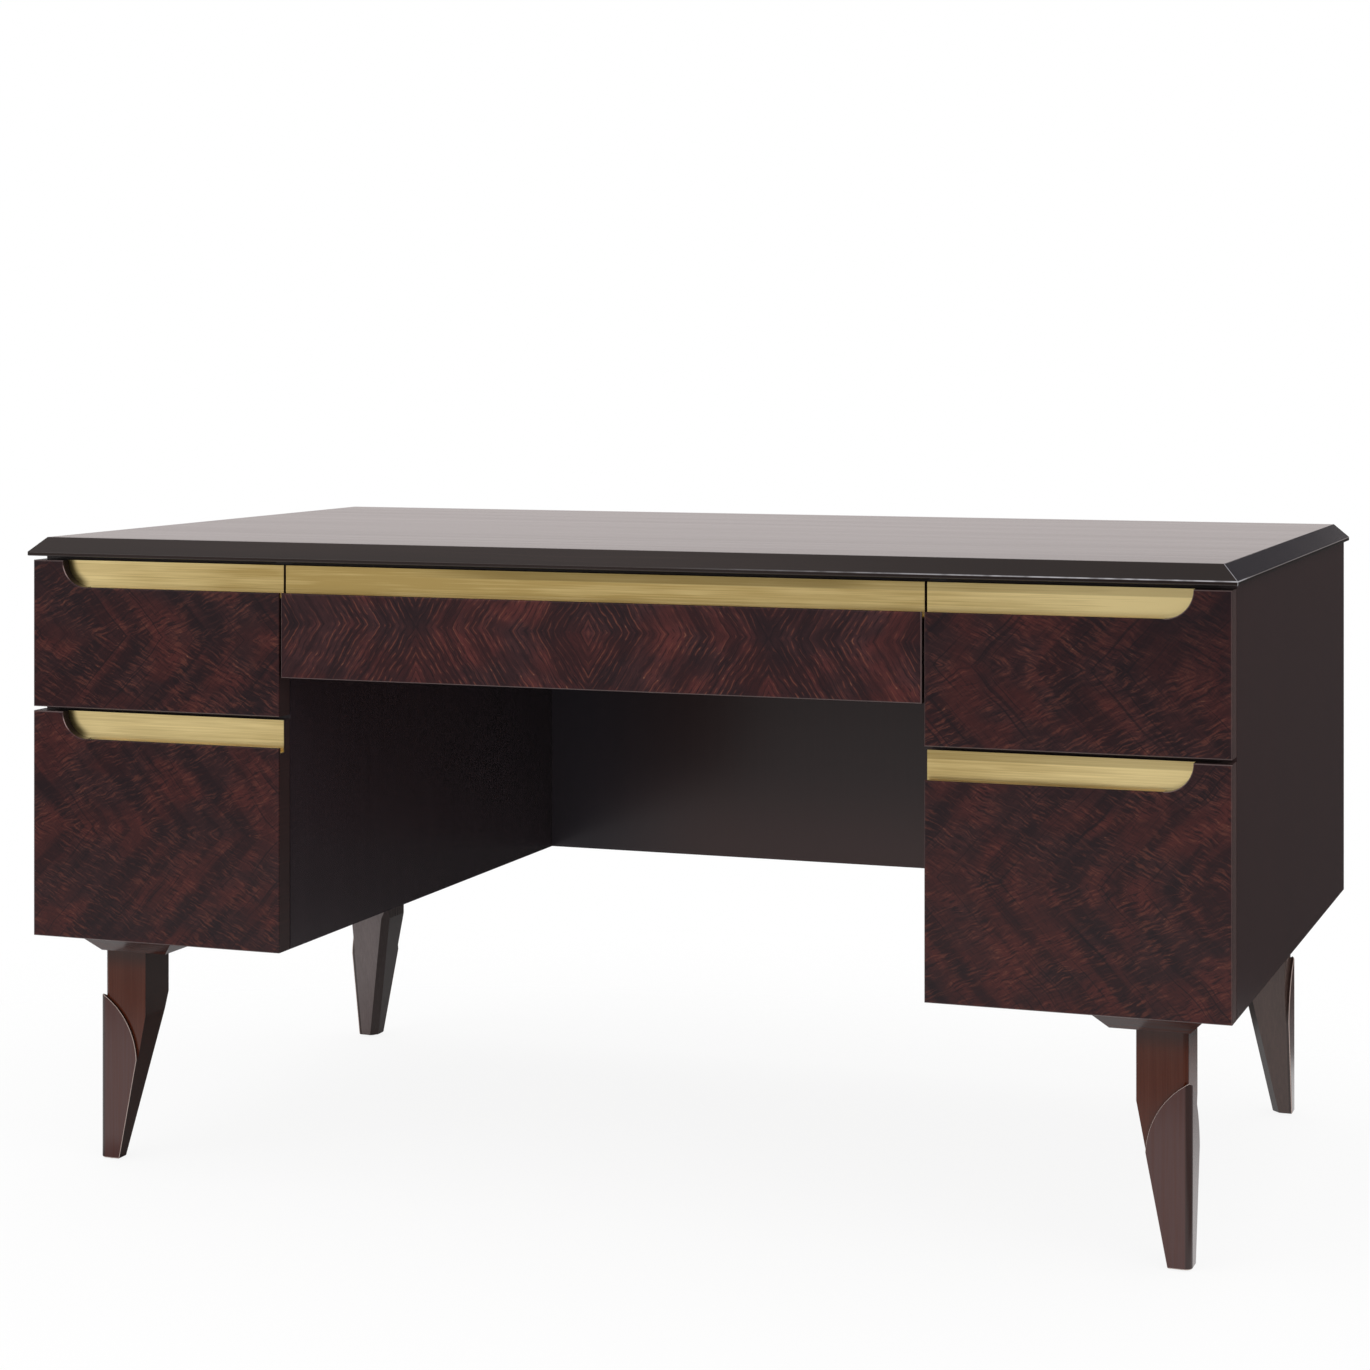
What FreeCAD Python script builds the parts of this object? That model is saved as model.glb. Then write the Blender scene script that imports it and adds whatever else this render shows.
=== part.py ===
import FreeCAD, Part
import math
import os

from FreeCAD import Vector

# A twin pedestal writing desk, in millimetres. +Z is up and the floor is Z = 0.
# The front faces -Y and the origin is under the middle of the desk top.

# Overall sizes.
overall_width = 1460.0
overall_depth = 867.0
overall_height = 762.0

# Desk top: a bevelled slab over a thin square lip.
top_thickness = 22.0
top_lip_height = 4.5
top_bevel_run = 17.5
top_side_overhang = 7.0
top_front_overhang = 3.0
top_edge_radius = 1.0
top_lip_radius = 1.3

# Carcass boards.
pedestal_width = 332.0
side_thickness = 18.0
floor_thickness = 18.0
back_panel_thickness = 22.0
back_recess = 10.0
rail_thickness = 18.0
rail_depth = 80.0

# Drawer fronts and the gaps round them.
front_thickness = 28.0
front_standoff = 2.0
front_edge_radius = 1.6
top_reveal = 5.0
row_gap = 5.0
column_gap = 3.0
upper_front_height = 177.0
centre_front_height = 131.0

# Finger scoop: a pocket open to the front and the top, with a groove behind its ledge.
# Its outer end is a quarter round as high as the scoop.
scoop_height = 31.5
scoop_depth = 13.0
scoop_end_margin = 40.5
scoop_groove_height = 7.0
scoop_lip_thickness = 4.0

# Brass pull: one folded sheet that lines the scoop and the groove.
pull_sheet = 1.2
pull_lip_drop = 0.6
pull_end_clearance = 0.2

# Drawer boxes.
box_wall = 12.0
box_bottom_thickness = 6.0
pedestal_box_depth = 620.0
centre_box_depth = 440.0
upper_box_lift = 16.0
upper_box_top_clearance = 31.0
lower_box_lift = 34.0
lower_box_top_clearance = 26.0
centre_box_lift = 14.0
centre_box_top_clearance = 32.0

# Telescopic slides: three nested steel channels on each side of a box.
slide_thickness = 13.0
slide_wall = 1.4
slide_running_gap = 0.4
slide_setback = 3.0
slide_mouth = 2.0
pedestal_slide_height = 45.0
centre_slide_height = 35.0
pedestal_slide_length = 600.0
centre_slide_length = 420.0

# Leg blocks: bevelled plates that spread upwards from the legs.
block_height = 26.0
block_margin = 3.0
block_width = 88.0
block_spread = 26.0

# Legs: square above, tapered below, with a raised leaf round the outer corner.
leg_height = 255.0
leg_width = 56.0
leg_side_inset = 58.5
leg_end_inset = 68.0
leg_taper_height = 178.0
leg_foot_width = 21.5
leg_chamfer = 9.0
leg_chamfer_stop = 20.0
leg_edge_radius = 6.0
leaf_proud = 4.6
leaf_root = 3.0
leaf_height = 203.0
leaf_arc_end = 124.0
leaf_arc_rise_share = 0.1325
leaf_corner_radius = 8.0
leaf_rim_radius = 0.9
foot_edge_radius = 2.2

# Leg fixings: a stud up through block and pedestal floor, with a washer and nut above.
stud_radius = 4.0
stud_hole_clearance = 0.2
stud_depth_in_leg = 45.0
nut_width = 13.0
nut_height = 6.0
washer_radius = 9.0
washer_thickness = 1.4
thread_clearance = 0.1

# Foot glides.
glide_radius = 7.0
glide_thickness = 1.5
glide_edge = 0.4
glide_pin_radius = 1.5
glide_pin_length = 14.0
glide_inset = 8.0

# Screws that hold the desk top from below.
screw_radius = 2.0
screw_head_radius = 4.2
screw_head_height = 2.4
screw_bite = 14.0
screw_hole_clearance = 0.15
screw_end_margin = 30.0

# Extra length that carries a cut past the face that it opens.
overrun = 5.0

# Points nearer to each other than this count as one place.
same_place = 0.05

# Planes and positions that follow from the sizes.
fronts_half_width = overall_width / 2 - top_side_overhang
kneehole_half_width = fronts_half_width - pedestal_width
y_face = -overall_depth / 2 + top_front_overhang
y_front_back = y_face + front_thickness
y_carcass = y_front_back + front_standoff
y_back = overall_depth / 2
y_back_panel = y_back - back_recess - back_panel_thickness
z_under_top = overall_height - top_thickness
z_carcass = leg_height + block_height
z_floor_top = z_carcass + floor_thickness
z_fronts_top = z_under_top - top_reveal
z_rail_under = z_under_top - rail_thickness
z_upper_low = z_fronts_top - upper_front_height
z_lower_top = z_upper_low - row_gap
lower_front_height = z_lower_top - z_carcass
centre_front_width = 2 * (kneehole_half_width - column_gap)
pedestal_inner_width = pedestal_width - 2 * side_thickness
pedestal_middle = fronts_half_width - pedestal_width / 2
leg_axis_inset = leg_width / 2
screw_end = z_under_top + screw_bite


def box(low, high):
    """A block between two opposite corners."""
    size = high - low
    return Part.makeBox(size.x, size.y, size.z, low)


def prism(points, direction):
    """A flat outline of straight sides, pushed along a direction."""
    return Part.Face(Part.makePolygon(points + points[:1])).extrude(direction)


def cylinder(radius, height, foot):
    """An upright round bar that stands on a point."""
    return Part.makeCylinder(radius, height, foot)


def rectangle(x_low, x_high, y_low, y_high, z):
    """A level rectangular wire."""
    corners = [Vector(x_low, y_low, z), Vector(x_high, y_low, z)]
    corners += [Vector(x_high, y_high, z), Vector(x_low, y_high, z)]
    return Part.makePolygon(corners + corners[:1])


def joined(first, *others):
    """One solid from several that meet, without seams."""
    return first.fuse(list(others)).removeSplitter()


def edges_where(shape, test):
    """The edges of a shape whose every corner passes a test."""
    return [edge for edge in shape.Edges if all(test(vertex.Point) for vertex in edge.Vertexes)]


def near(value, target):
    """True where two measures name the same place."""
    return abs(value - target) < same_place


def mirrored(shape, direction):
    """The shape itself, or its mirror image across X = 0 where the direction is negative."""
    if direction > 0:
        return shape
    return shape.mirror(Vector(0, 0, 0), Vector(1, 0, 0))


def save(name, *solids):
    """Write the solids of one sub-part."""
    shape = solids[0] if len(solids) == 1 else Part.makeCompound(list(solids))
    shape.exportStep(os.path.join("parts", name + ".step"))


class Drawer:
    """One drawer: where its front lies, how large its box is, and which slides carry it."""

    def __init__(self, name, side, z_low, height, lift, top_clearance):
        self.name = name
        self.side = side
        self.z_low = z_low
        self.height = height
        self.z_top = z_low + height
        self.ledge = self.z_top - scoop_height
        self.middle = side * pedestal_middle
        self.width = pedestal_width if side else centre_front_width
        self.inner_width = pedestal_inner_width if side else 2 * kneehole_half_width
        self.box_width = self.inner_width - 2 * slide_thickness
        self.box_depth = pedestal_box_depth if side else centre_box_depth
        self.box_low = z_low + lift
        self.box_height = height - lift - top_clearance
        self.slide_height = pedestal_slide_height if side else centre_slide_height
        self.slide_length = pedestal_slide_length if side else centre_slide_length


def make_drawers():
    """The five drawers, from the left pedestal to the right one."""
    drawers = []
    for word, side in (("left", -1), ("right", 1)):
        drawers.append(Drawer("upper_" + word, side, z_upper_low, upper_front_height,
                              upper_box_lift, upper_box_top_clearance))
        drawers.append(Drawer("lower_" + word, side, z_carcass, lower_front_height,
                              lower_box_lift, lower_box_top_clearance))
    drawers.append(Drawer("centre", 0, z_fronts_top - centre_front_height, centre_front_height,
                          centre_box_lift, centre_box_top_clearance))
    return drawers


def scoop_outline(drawer, y, low, past, shrink):
    """The scoop's outline as a face at one depth. Its outer end is a quarter round, where it has one.
    Past is how far it runs beyond the open ends and the top."""
    half = drawer.width / 2
    high = drawer.z_top + past
    if not drawer.side:
        corners = [(-half - past, low), (half + past, low), (half + past, high), (-half - past, high)]
        corners = [Vector(x, y, z) for x, z in corners]
        return Part.Face(Part.makePolygon(corners + corners[:1]))
    outward = drawer.side
    inner = -outward * (half + past)
    end = outward * (half - scoop_end_margin - shrink)
    radius = scoop_height - shrink
    turn = end - outward * radius
    lift = drawer.ledge + radius
    bend = radius * math.sqrt(0.5)
    arc = Part.Arc(Vector(turn, y, drawer.ledge),
                   Vector(turn + outward * bend, y, lift - bend), Vector(end, y, lift)).toShape()
    corners = [(end, lift), (end, high), (inner, high), (inner, low), (turn, low)]
    if low < drawer.ledge:
        corners.append((turn, drawer.ledge))
    corners = [Vector(x, y, z) for x, z in corners]
    lines = [Part.makeLine(first, second) for first, second in zip(corners, corners[1:])]
    return Part.Face(Part.Wire([arc] + lines))


def groove_span(drawer, past):
    """Where the groove behind the ledge starts and ends, left to right, past its open ends."""
    half = drawer.width / 2
    if not drawer.side:
        return -half - past, half + past
    turn = half - scoop_end_margin - scoop_height
    ends = (-drawer.side * (half + past), drawer.side * turn)
    return min(ends), max(ends)


def make_front(drawer):
    """A drawer front with its finger scoop, the groove behind the ledge and rounded face edges."""
    half = drawer.width / 2
    slab = box(Vector(-half, y_face, drawer.z_low), Vector(half, y_front_back, drawer.z_top))
    depth = scoop_depth + pull_sheet
    scoop = scoop_outline(drawer, y_face - overrun, drawer.ledge, overrun, 0)
    scoop = scoop.extrude(Vector(0, overrun + depth, 0))
    start, end = groove_span(drawer, overrun)
    groove = box(Vector(start, y_face + scoop_lip_thickness, drawer.ledge - scoop_groove_height),
                 Vector(end, y_face + depth, drawer.ledge + overrun))
    front = slab.cut(scoop).cut(groove).removeSplitter()
    front = front.makeFillet(front_edge_radius, edges_where(front, lambda p: near(p.y, y_face)))
    front.translate(Vector(drawer.middle, 0, 0))
    return front


def make_pull(drawer):
    """The folded brass sheet: back plate, groove floor and a short lip behind the ledge."""
    floor = drawer.ledge - scoop_groove_height
    y_plate = y_face + scoop_depth
    plate = scoop_outline(drawer, y_plate, floor, 0, pull_end_clearance)
    plate = plate.extrude(Vector(0, pull_sheet, 0))
    start, end = groove_span(drawer, 0)
    y_lip = y_face + scoop_lip_thickness
    fold = box(Vector(start, y_lip, floor), Vector(end, y_plate + pull_sheet, floor + pull_sheet))
    lip = box(Vector(start, y_lip, floor), Vector(end, y_lip + pull_sheet, drawer.ledge - pull_lip_drop))
    pull = joined(plate, fold, lip)
    pull.translate(Vector(drawer.middle, 0, 0))
    return pull


def make_box(drawer):
    """The boards of one drawer box: two sides, two ends and a bottom between them."""
    x_out = drawer.box_width / 2
    x_in = x_out - box_wall
    y_low = y_front_back
    y_high = y_front_back + drawer.box_depth
    z_low = drawer.box_low
    z_high = z_low + drawer.box_height
    shift = Vector(drawer.middle, 0, 0)
    side = box(Vector(x_in, y_low, z_low), Vector(x_out, y_high, z_high))
    sides = [side, mirrored(side, -1)]
    ends = [box(Vector(-x_in, y, z_low), Vector(x_in, y + box_wall, z_high))
            for y in (y_low, y_high - box_wall)]
    bottom = box(Vector(-x_in, y_low + box_wall, z_low),
                 Vector(x_in, y_high - box_wall, z_low + box_bottom_thickness))
    for board in sides + ends + [bottom]:
        board.translate(shift)
    return sides, ends, bottom


def channel(web_low, web_high, mouth, half_height, y_low, y_high, z):
    """A steel channel along Y: an upright web and two flanges that end at the mouth."""
    web = box(Vector(web_low, y_low, z - half_height), Vector(web_high, y_high, z + half_height))
    x_low = min(web_low, mouth)
    x_high = max(web_high, mouth)
    flange_low = box(Vector(x_low, y_low, z - half_height),
                     Vector(x_high, y_high, z - half_height + slide_wall))
    flange_high = box(Vector(x_low, y_low, z + half_height - slide_wall),
                      Vector(x_high, y_high, z + half_height))
    return joined(web, flange_low, flange_high)


def make_slides(drawer):
    """Outer, middle and inner slide channels, each as a left and right pair."""
    wall = drawer.inner_width / 2
    box_side = wall - slide_thickness
    y_low = y_carcass + slide_setback
    y_high = y_low + drawer.slide_length
    z = drawer.box_low + drawer.box_height / 2
    half = drawer.slide_height / 2
    step = slide_wall + slide_running_gap
    outer = channel(wall - slide_wall, wall, box_side + 2 * slide_mouth, half, y_low, y_high, z)
    middle = channel(wall - step - slide_wall, wall - step, box_side + slide_mouth,
                     half - step, y_low, y_high, z)
    inner = channel(box_side, box_side + slide_wall, wall - 2 * step,
                    half - 2 * step, y_low, y_high, z)
    pairs = []
    for member in (outer, middle, inner):
        pair = [member, mirrored(member, -1)]
        for solid in pair:
            solid.translate(Vector(drawer.middle, 0, 0))
        pairs.append(pair)
    return pairs


def leg_section(width, z):
    """A square leg section with a chamfer on the inner corner."""
    cut = width - leg_chamfer
    points = [Vector(0, 0, z), Vector(width, 0, z), Vector(width, cut, z)]
    points += [Vector(cut, width, z), Vector(0, width, z)]
    return Part.makePolygon(points + points[:1])


def leaf_slab(depth):
    """What lies below a leaf's outline on the front: straight sides and an arc up to the corner."""
    slope = (leg_width - leg_foot_width) / (leg_taper_height - glide_thickness)
    reach = leg_foot_width + slope * (leaf_arc_end - glide_thickness)
    y = -leaf_proud
    foot_out = Vector(-leaf_proud, y, glide_thickness)
    foot_in = Vector(leg_foot_width, y, glide_thickness)
    tip = Vector(-leaf_proud, y, leaf_height)
    arc_low = Vector(reach, y, leaf_arc_end)
    chord = tip - arc_low
    across = Vector(chord.z, 0, -chord.x).normalize()
    middle = (tip + arc_low) * 0.5 + across * leaf_arc_rise_share * chord.Length
    edges = [Part.makeLine(foot_out, foot_in), Part.makeLine(foot_in, arc_low),
             Part.Arc(arc_low, middle, tip).toShape(), Part.makeLine(tip, foot_out)]
    return Part.Face(Part.Wire(edges)).extrude(Vector(0, depth, 0))


def turned_over(shape):
    """The mirror image across the plane X = Y, which swaps a leg's front and side."""
    return shape.mirror(Vector(0, 0, 0), Vector(1, -1, 0))


def make_leaf():
    """The raised leaf: an upright angle with a round outer corner, cut to its outline on both sides."""
    centre = leaf_corner_radius - leaf_proud
    bend = Vector(-leaf_corner_radius, 0, 0)
    bend = FreeCAD.Rotation(Vector(0, 0, 1), 45).multVec(bend) + Vector(centre, centre, 0)
    start = Vector(centre, -leaf_proud, 0)
    end = Vector(-leaf_proud, centre, 0)
    points = [end, Vector(-leaf_proud, leg_width, 0), Vector(leaf_root, leg_width, 0),
              Vector(leaf_root, leaf_root, 0), Vector(leg_width, leaf_root, 0),
              Vector(leg_width, -leaf_proud, 0), start]
    edges = [Part.makeLine(*pair) for pair in zip(points, points[1:])]
    edges.append(Part.Arc(start, bend, end).toShape())
    angle = Part.Face(Part.Wire(edges)).extrude(Vector(0, 0, leg_height))
    outline = leaf_slab(leaf_proud + leg_width)
    return angle.common(outline).common(turned_over(outline))


def on_leaf(point):
    """True on the leaf's outer surface: its two flats and the round corner between them."""
    centre = leaf_corner_radius - leaf_proud
    if point.x < centre and point.y < centre:
        return near(math.hypot(point.x - centre, point.y - centre), leaf_corner_radius)
    return near(point.x, -leaf_proud) or near(point.y, -leaf_proud)


def leaf_rims(leg):
    """The edges round the leaf's outer surface that climb, apart from the upright seams."""
    rims = []
    for edge in edges_where(leg, on_leaf):
        start, end = [vertex.Point for vertex in edge.Vertexes]
        upright = near(math.hypot(end.x - start.x, end.y - start.y), 0)
        if not upright and not near(end.z, start.z):
            rims.append(edge)
    return rims


def make_leg():
    """A leg whose outer corner is at X = Y = 0 and whose body lies towards +X and +Y."""
    taper = Part.makeLoft([leg_section(leg_foot_width, glide_thickness),
                           leg_section(leg_width, leg_taper_height)], True, True)
    post = box(Vector(0, 0, leg_taper_height), Vector(leg_width, leg_width, leg_height))
    corner = Vector(leg_width, leg_width, leg_taper_height)
    peak = corner + Vector(0, 0, leg_chamfer_stop)
    base = [corner, corner - Vector(leg_chamfer, 0, 0), corner - Vector(0, leg_chamfer, 0)]
    core = joined(taper, post.cut(tetrahedron(base, peak)))
    core = core.makeFillet(leg_edge_radius, edges_where(core, lambda p: near(p.x, 0) and near(p.y, 0)))
    leg = joined(core, make_leaf())
    leg = leg.makeFillet(foot_edge_radius, edges_where(leg, lambda p: near(p.z, glide_thickness)))
    leg = leg.makeFillet(leaf_rim_radius, leaf_rims(leg))
    hole = cylinder(stud_radius + stud_hole_clearance, stud_depth_in_leg + overrun,
                    Vector(leg_axis_inset, leg_axis_inset, leg_height - stud_depth_in_leg))
    pin_hole = cylinder(glide_pin_radius + thread_clearance, glide_pin_length + overrun,
                        Vector(glide_inset, glide_inset, glide_thickness - overrun))
    return leg.cut(hole).cut(pin_hole)


def tetrahedron(base, peak):
    """A solid with a triangular base and a peak."""
    faces = [Part.Face(Part.makePolygon(base + base[:1]))]
    for index in range(len(base)):
        pair = [base[index - 1], base[index]]
        faces.append(Part.Face(Part.makePolygon(pair + [peak, pair[0]])))
    solid = Part.Solid(Part.Shell(faces))
    if solid.Volume < 0:
        solid.reverse()
    return solid


def make_block():
    """A leg block: a level plate that spreads upwards, with the stud hole through it."""
    low = -block_margin
    high = low + block_width
    lower = rectangle(low, high, low, high, leg_height)
    upper = rectangle(low - block_spread, high + block_spread,
                      low - block_spread, high + block_spread, z_carcass)
    block = Part.makeLoft([lower, upper], True, True)
    hole = cylinder(stud_radius + stud_hole_clearance, block_height + 2 * overrun,
                    Vector(leg_axis_inset, leg_axis_inset, leg_height - overrun))
    return block.cut(hole)


def make_stud():
    """The threaded stud that draws a leg up against its block."""
    foot = Vector(leg_axis_inset, leg_axis_inset, leg_height - stud_depth_in_leg)
    length = stud_depth_in_leg + block_height + floor_thickness + washer_thickness + nut_height
    return cylinder(stud_radius, length, foot)


def make_nut():
    """A washer with a hexagonal nut on it, above the pedestal floor."""
    foot = Vector(leg_axis_inset, leg_axis_inset, z_floor_top)
    washer = cylinder(washer_radius, washer_thickness, foot)
    start = foot + Vector(0, 0, washer_thickness)
    reach = nut_width / math.sqrt(3)
    turns = [math.radians(60 * index) for index in range(6)]
    corners = [start + Vector(reach * math.cos(turn), reach * math.sin(turn), 0) for turn in turns]
    nut = joined(washer, prism(corners, Vector(0, 0, nut_height)))
    hole = cylinder(stud_radius + thread_clearance, washer_thickness + nut_height + 2 * overrun,
                    foot - Vector(0, 0, overrun))
    return nut.cut(hole)


def make_glide():
    """A flat steel glide with a pin that is driven into the foot."""
    centre = Vector(glide_inset, glide_inset, 0)
    disc = cylinder(glide_radius, glide_thickness, centre)
    disc = disc.makeChamfer(glide_edge, edges_where(disc, lambda p: near(p.z, 0)))
    pin = cylinder(glide_pin_radius, glide_thickness + glide_pin_length, centre)
    return joined(disc, pin)


def at_corner(shape, side, end):
    """Move a leg's piece to one corner. Side is -1 on the left, end is -1 at the front."""
    placed = shape
    if side > 0:
        placed = placed.mirror(Vector(0, 0, 0), Vector(1, 0, 0))
    if end > 0:
        placed = placed.mirror(Vector(0, 0, 0), Vector(0, 1, 0))
    y = y_face + leg_end_inset if end < 0 else y_back - leg_end_inset
    placed = placed.copy()
    placed.translate(Vector(side * (fronts_half_width - leg_side_inset), y, 0))
    return placed


def rail_places():
    """The bays that have top rails: the middle and width of each."""
    return [(-pedestal_middle, pedestal_inner_width), (0, 2 * kneehole_half_width),
            (pedestal_middle, pedestal_inner_width)]


def make_top_rails():
    """A front and a rear rail under the desk top in each bay, with their screw holes."""
    rails = []
    for middle, width in rail_places():
        for y in (y_carcass, y_back_panel - rail_depth):
            rail = box(Vector(middle - width / 2, y, z_rail_under),
                       Vector(middle + width / 2, y + rail_depth, z_under_top))
            rails.append(rail.cut(screw_holes()))
    return rails


def screw_places():
    """Two screws in each top rail, near its ends."""
    places = []
    for middle, width in rail_places():
        reach = width / 2 - screw_end_margin
        for y in (y_carcass + rail_depth / 2, y_back_panel - rail_depth / 2):
            places += [Vector(middle - reach, y, z_rail_under), Vector(middle + reach, y, z_rail_under)]
    return places


def screw_holes():
    """All the holes for the top's screws, through the rails and into the top."""
    radius = screw_radius + screw_hole_clearance
    height = screw_end - z_rail_under + overrun + screw_hole_clearance
    return Part.makeCompound([cylinder(radius, height, place - Vector(0, 0, overrun))
                              for place in screw_places()])


def make_screws():
    """The screws that hold the desk top, each with a flat round head under its rail."""
    screws = []
    for place in screw_places():
        head = cylinder(screw_head_radius, screw_head_height, place - Vector(0, 0, screw_head_height))
        screws.append(joined(head, cylinder(screw_radius, screw_end - z_rail_under, place)))
    return screws


def make_top():
    """The desk top: a square lip below and four bevelled sides above."""
    x = overall_width / 2
    y = overall_depth / 2
    z_lip = z_under_top + top_lip_height
    run = top_bevel_run
    lip = box(Vector(-x, -y, z_under_top), Vector(x, y, z_lip))
    bevel = Part.makeLoft([rectangle(-x, x, -y, y, z_lip),
                           rectangle(run - x, x - run, run - y, y - run, overall_height)], True, True)
    top = joined(lip, bevel)
    top = top.makeFillet(top_lip_radius, edges_where(top, lambda p: p.z < z_lip + same_place))
    top = top.makeFillet(top_edge_radius, edges_where(top, lambda p: near(p.z, overall_height)))
    return top.cut(screw_holes())


def make_side(x_low, x_high, y_high):
    """An upright side panel of a pedestal."""
    return box(Vector(x_low, y_carcass, z_carcass), Vector(x_high, y_high, z_under_top))


def make_back_panel():
    """The panel that closes the back and ties the two pedestals together."""
    half = fronts_half_width - side_thickness
    return box(Vector(-half, y_back_panel, z_carcass),
               Vector(half, y_back_panel + back_panel_thickness, z_under_top))


def make_pedestal_floor(side):
    """The bottom board of a pedestal, with a stud hole at each leg."""
    middle = side * pedestal_middle
    half = pedestal_inner_width / 2
    board = box(Vector(middle - half, y_carcass, z_carcass),
                Vector(middle + half, y_back_panel, z_floor_top))
    hole = cylinder(stud_radius + stud_hole_clearance, floor_thickness + 2 * overrun,
                    Vector(leg_axis_inset, leg_axis_inset, z_carcass - overrun))
    return board.cut(at_corner(hole, side, -1)).cut(at_corner(hole, side, 1))


def make_divider_rail(side):
    """The rail between the two drawers of a pedestal."""
    middle = side * pedestal_middle
    half = pedestal_inner_width / 2
    z_low = z_lower_top + row_gap / 2 - rail_thickness / 2
    return box(Vector(middle - half, y_carcass, z_low),
               Vector(middle + half, y_carcass + rail_depth, z_low + rail_thickness))


def write_carcass():
    """Write the desk top, the boards and the rails."""
    save("desk_top", make_top())
    outer = fronts_half_width
    inner = kneehole_half_width
    save("left_outer_side", make_side(-outer, side_thickness - outer, y_back))
    save("left_inner_side", make_side(-inner - side_thickness, -inner, y_back_panel))
    save("right_inner_side", make_side(inner, inner + side_thickness, y_back_panel))
    save("right_outer_side", make_side(outer - side_thickness, outer, y_back))
    save("back_panel", make_back_panel())
    save("left_pedestal_floor", make_pedestal_floor(-1))
    save("right_pedestal_floor", make_pedestal_floor(1))
    save("top_rails", *make_top_rails())
    save("divider_rails", make_divider_rail(-1), make_divider_rail(1))
    save("top_screws", *make_screws())


def write_legs():
    """Write the four legs, their blocks, and the studs, nuts and glides."""
    corners = [(side, end) for end in (-1, 1) for side in (-1, 1)]
    leg = make_leg()
    block = make_block()
    for side, end in corners:
        word = ("front_" if end < 0 else "back_") + ("left_" if side < 0 else "right_")
        save(word + "leg", at_corner(leg, side, end))
        save(word + "leg_block", at_corner(block, side, end))
    save("leg_studs", *[at_corner(make_stud(), *corner) for corner in corners])
    save("leg_nuts", *[at_corner(make_nut(), *corner) for corner in corners])
    save("foot_glides", *[at_corner(make_glide(), *corner) for corner in corners])


def write_drawers():
    """Write each drawer's front, pull, box boards and slides."""
    fixed = {-1: [], 0: [], 1: []}
    for drawer in make_drawers():
        sides, ends, bottom = make_box(drawer)
        outer, middle, inner = make_slides(drawer)
        save(drawer.name + "_front", make_front(drawer))
        save(drawer.name + "_pull", make_pull(drawer))
        save(drawer.name + "_box_sides", *sides)
        save(drawer.name + "_box_ends", *ends)
        save(drawer.name + "_box_bottom", bottom)
        save(drawer.name + "_inner_slides", *inner)
        save(drawer.name + "_middle_slides", *middle)
        fixed[drawer.side] += outer
    save("left_outer_slides", *fixed[-1])
    save("centre_outer_slides", *fixed[0])
    save("right_outer_slides", *fixed[1])


os.makedirs("parts", exist_ok=True)
write_carcass()
write_legs()
write_drawers()
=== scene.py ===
import math

import bmesh
import bpy
from bpy.props import FloatProperty, FloatVectorProperty, IntProperty, PointerProperty
from mathutils import Matrix, Vector


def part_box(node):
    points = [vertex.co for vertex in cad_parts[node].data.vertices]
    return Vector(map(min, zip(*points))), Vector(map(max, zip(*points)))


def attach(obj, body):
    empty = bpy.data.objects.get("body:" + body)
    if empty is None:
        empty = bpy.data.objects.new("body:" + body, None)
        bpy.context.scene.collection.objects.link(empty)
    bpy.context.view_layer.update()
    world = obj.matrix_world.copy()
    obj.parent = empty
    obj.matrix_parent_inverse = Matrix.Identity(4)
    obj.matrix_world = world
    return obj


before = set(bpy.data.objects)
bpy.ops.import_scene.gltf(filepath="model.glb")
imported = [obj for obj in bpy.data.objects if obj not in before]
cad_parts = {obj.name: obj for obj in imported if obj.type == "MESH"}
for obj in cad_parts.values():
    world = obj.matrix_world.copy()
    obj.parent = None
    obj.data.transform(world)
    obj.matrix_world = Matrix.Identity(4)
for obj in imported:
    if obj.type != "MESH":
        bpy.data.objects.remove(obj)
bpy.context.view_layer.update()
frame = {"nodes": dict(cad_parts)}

bl_info = {
    "name": "Pedestal Writing Desk",
    "version": (1, 0, 0),
    "blender": (4, 5, 0),
    "location": "View3D > Sidebar > Desk",
    "description": "Finishes, fixings and studio for a twin pedestal writing desk",
    "category": "Object",
}

PICTURE_WIDTH = 1370
SENSOR_WIDTH = 36.0
BLACK = (0.0, 0.0, 0.0)
WHITE = (1.0, 1.0, 1.0)

PEDESTAL_DRAWERS = ("upper_left", "lower_left", "upper_right", "lower_right")
DRAWERS = ("upper_left", "lower_left", "centre", "upper_right", "lower_right")
CORNERS = ("front_left", "front_right", "back_left", "back_right")

# New pieces' points and faces are sorted along this, so that every run gives the same order.
SORT_LINE = Vector((1.0, 0.6180, 0.2345))

# Fronts whose middle is further out than this are on a pedestal.
PEDESTAL_START = 0.2

# The quarter round at the outer end of a pedestal drawer's finger scoop.
SCOOP_RADIUS = 0.0315
SCOOP_END_MARGIN = 0.0405

# How much brighter each pull is painted at its left and right ends, a painted reflection along its
# brass.
PULL_END_SHEEN = {"upper_left": (0.20, -0.40), "lower_left": (0.38, 0.08), "centre": (-0.52, -0.20),
               "upper_right": (-0.05, 0.65), "lower_right": (-0.15, 0.45)}

# Each softbox's name, place, width, height and power.
SOFTBOXES = (("overhead_softbox", (-0.3, 0.1, 3.2), 5.0, 3.6, 19.0),
             ("front_left_softbox", (-2.4, -3.8, 2.2), 3.6, 2.8, 30.0),
             ("front_right_softbox", (3.2, -2.6, 2.0), 3.0, 2.4, 18.0))
SOFTBOX_TARGET = Vector((0, 0, 0.45))

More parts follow.
